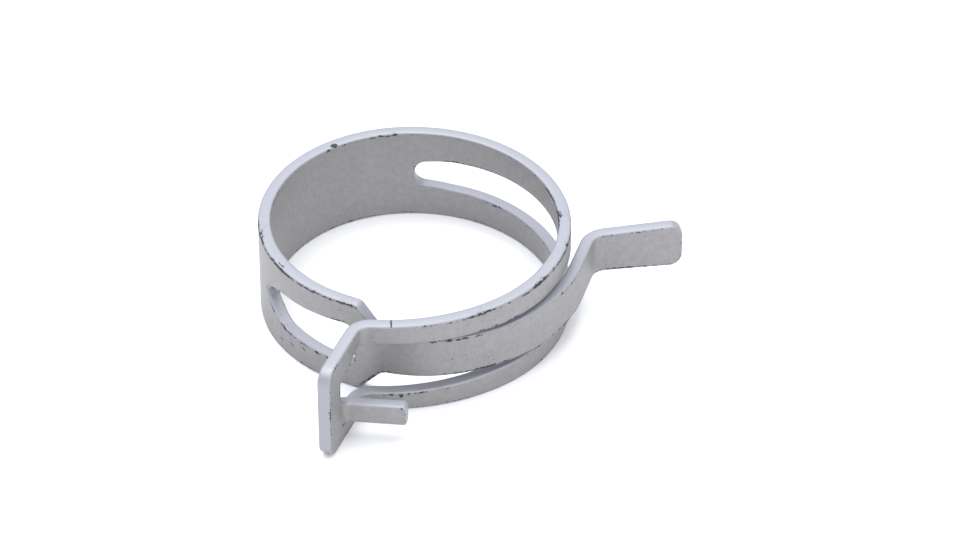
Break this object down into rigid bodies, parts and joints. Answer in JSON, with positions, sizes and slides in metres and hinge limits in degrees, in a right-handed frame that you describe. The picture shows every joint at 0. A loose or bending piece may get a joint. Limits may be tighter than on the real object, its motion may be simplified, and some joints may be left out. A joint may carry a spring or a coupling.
{
  "type": "spring band hose clamp",
  "caption": "Self-gripping spring-steel band hose clamp: a narrow tongue passes through a forked band, and squeezing the two bent ears together opens the ring.",
  "frame": {"origin": "on the bore's axis, at the edge of the band that the clamp rests on", "axes": "+Z along the bore; the closed back of the ring is at +Y, the forked half runs clockwise from it seen from above, the fork ear stands out at -Y and the tongue ear at +X"},
  "size_m": [0.0492, 0.0467, 0.012],
  "materials": {
    "coated_spring_steel": "matt zinc-flake coating, dark chips along the edges"
  },
  "bodies": {
    "band_back": {"back_band": "coated_spring_steel"},
    "fork_flex_1": {"fork_upper_rail_1": "coated_spring_steel", "fork_lower_rail_1": "coated_spring_steel"},
    "fork_flex_2": {"fork_upper_rail_2": "coated_spring_steel", "fork_lower_rail_2": "coated_spring_steel"},
    "fork_front": {"fork_upper_rail_3": "coated_spring_steel", "fork_lower_rail_3": "coated_spring_steel", "fork_upper_rail_4": "coated_spring_steel", "fork_lower_rail_4": "coated_spring_steel", "fork_upper_rail_5": "coated_spring_steel", "fork_lower_rail_5": "coated_spring_steel", "fork_ear_upper_arm": "coated_spring_steel", "fork_ear_lower_arm": "coated_spring_steel", "fork_ear_tip": "coated_spring_steel", "stop_tab": "coated_spring_steel"},
    "side_flex_1": {"side_band_1": "coated_spring_steel"},
    "side_flex_2": {"side_band_2": "coated_spring_steel"},
    "side_flex_3": {"side_band_3": "coated_spring_steel"},
    "slot_flex": {"slot_band": "coated_spring_steel"},
    "slot_end": {"side_upper_rail_1": "coated_spring_steel", "side_lower_rail_1": "coated_spring_steel", "shoulder": "coated_spring_steel"},
    "tongue": {"tongue_root": "coated_spring_steel", "tongue_middle": "coated_spring_steel", "tongue_outer": "coated_spring_steel", "tongue_flare": "coated_spring_steel", "tongue_ear": "coated_spring_steel"}
  },
  "joints": [
    {"name": "fork_bend_1", "type": "hinge", "parent": "band_back", "child": "fork_flex_1", "pos_m": [0.00481, 0.01687, 0.006], "axis": [0, 0, 1], "range_deg": [0, 8.9]},
    {"name": "fork_bend_2", "type": "hinge", "parent": "fork_flex_1", "child": "fork_flex_2", "pos_m": [0.01315, 0.01205, 0.006], "axis": [0, 0, 1], "range_deg": [0, 8.03]},
    {"name": "fork_bend_3", "type": "hinge", "parent": "fork_flex_2", "child": "fork_front", "pos_m": [0.01797, 0.00371, 0.006], "axis": [0, 0, 1], "range_deg": [0, 4.55]},
    {"name": "side_bend_1", "type": "hinge", "parent": "band_back", "child": "side_flex_1", "pos_m": [-0.00453, 0.0169, 0.006], "axis": [0, 0, -1], "range_deg": [0, 8.7], "stiffness_Nm_per_rad": 0.5},
    {"name": "side_bend_2", "type": "hinge", "parent": "side_flex_1", "child": "side_flex_2", "pos_m": [-0.01237, 0.01237, 0.006], "axis": [0, 0, -1], "range_deg": [0, 8.9]},
    {"name": "side_bend_3", "type": "hinge", "parent": "side_flex_2", "child": "side_flex_3", "pos_m": [-0.0169, 0.00453, 0.006], "axis": [0, 0, -1], "range_deg": [0, 8.03]},
    {"name": "side_bend_4", "type": "hinge", "parent": "side_flex_3", "child": "slot_flex", "pos_m": [-0.0169, -0.00453, 0.006], "axis": [0, 0, -1], "range_deg": [0, 7.16]},
    {"name": "side_bend_5", "type": "hinge", "parent": "slot_flex", "child": "slot_end", "pos_m": [-0.01237, -0.01237, 0.006], "axis": [0, 0, -1], "range_deg": [0, 7.16]},
    {"name": "tongue_bend", "type": "hinge", "parent": "slot_end", "child": "tongue", "pos_m": [-0.00245, -0.01806, 0.006], "axis": [0, 0, -1], "range_deg": [0, 3.68]}
  ],
  "couplings": [
    {"joint": "fork_bend_1", "follows": "side_bend_1", "ratio": 1},
    {"joint": "fork_bend_2", "follows": "side_bend_1", "ratio": 0.9},
    {"joint": "fork_bend_3", "follows": "side_bend_1", "ratio": 0.5},
    {"joint": "side_bend_2", "follows": "side_bend_1", "ratio": 1},
    {"joint": "side_bend_3", "follows": "side_bend_1", "ratio": 0.9},
    {"joint": "side_bend_4", "follows": "side_bend_1", "ratio": 0.8},
    {"joint": "side_bend_5", "follows": "side_bend_1", "ratio": 0.8},
    {"joint": "tongue_bend", "follows": "side_bend_1", "ratio": 0.4}
  ]
}
